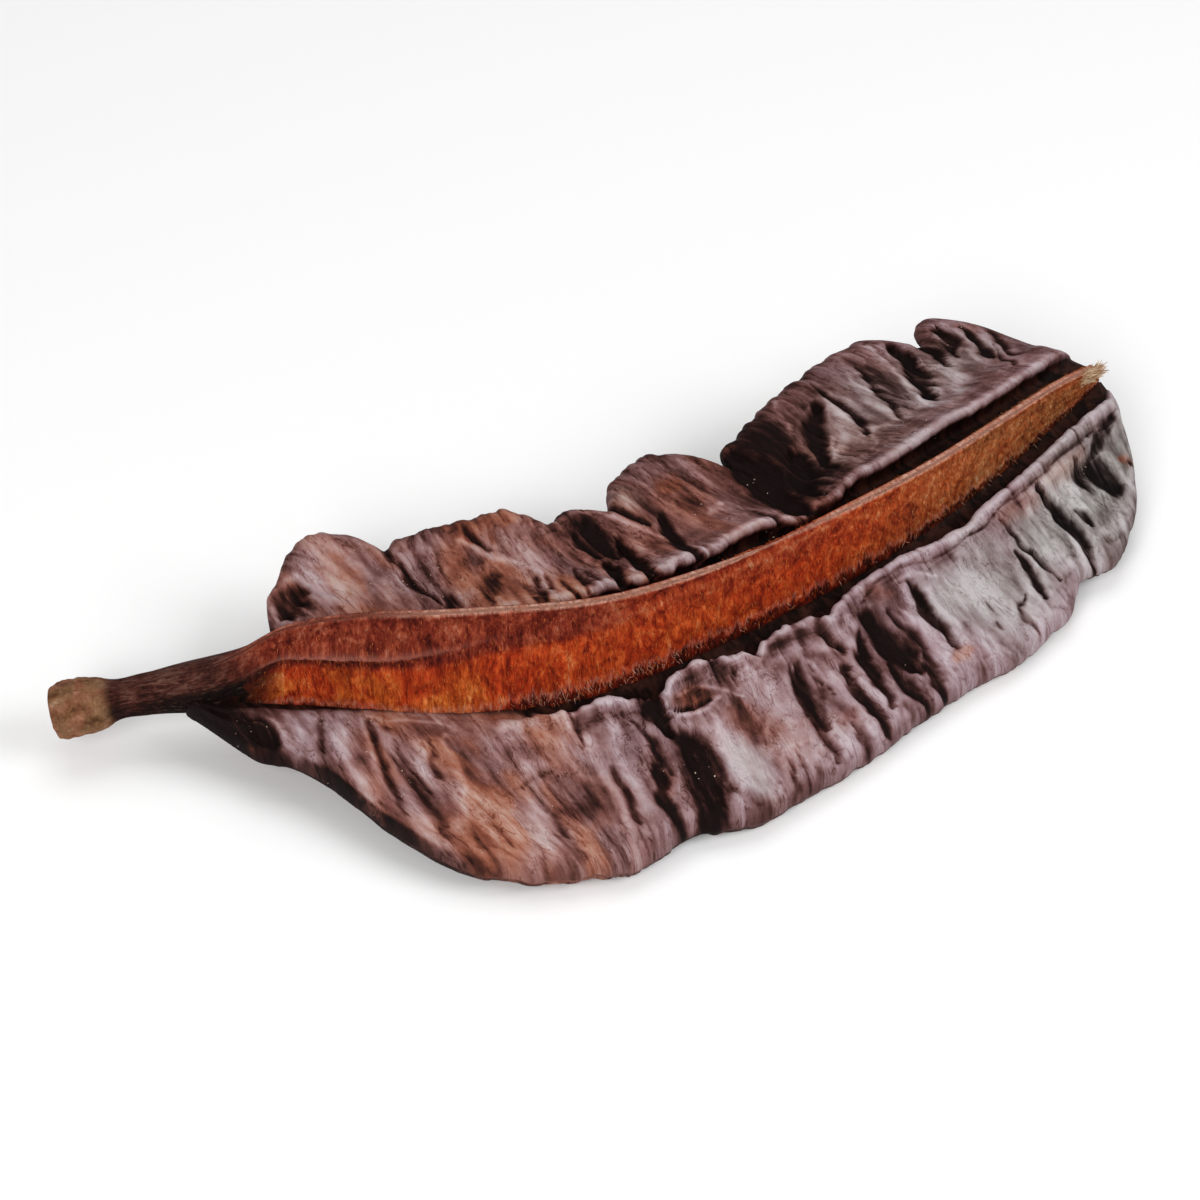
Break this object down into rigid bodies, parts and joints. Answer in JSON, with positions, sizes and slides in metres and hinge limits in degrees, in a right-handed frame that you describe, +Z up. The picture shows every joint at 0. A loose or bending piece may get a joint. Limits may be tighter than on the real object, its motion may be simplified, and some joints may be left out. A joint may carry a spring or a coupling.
{
  "type": "dried four-winged prekese pod",
  "caption": "Long curved dried seed pod lying on its side, with a woody upright keel, broad dark wrinkled pulp wings and a short stalk with a knob.",
  "frame": {"origin": "middle of the bounding box at the surface the pod lies on", "axes": "+X runs from the stalk to the tip, -Y is the side of the lower wing that touches the surface, +Z is up"},
  "size_m": [0.1888, 0.0804, 0.0316],
  "materials": {
    "dried_pod_skin": "dry wrinkled dark brown skin with a satin bloom, and an orange-brown suede-like woody keel"
  },
  "bodies": {
    "root": {"prekese_pod": "dried_pod_skin"}
  },
  "joints": []
}
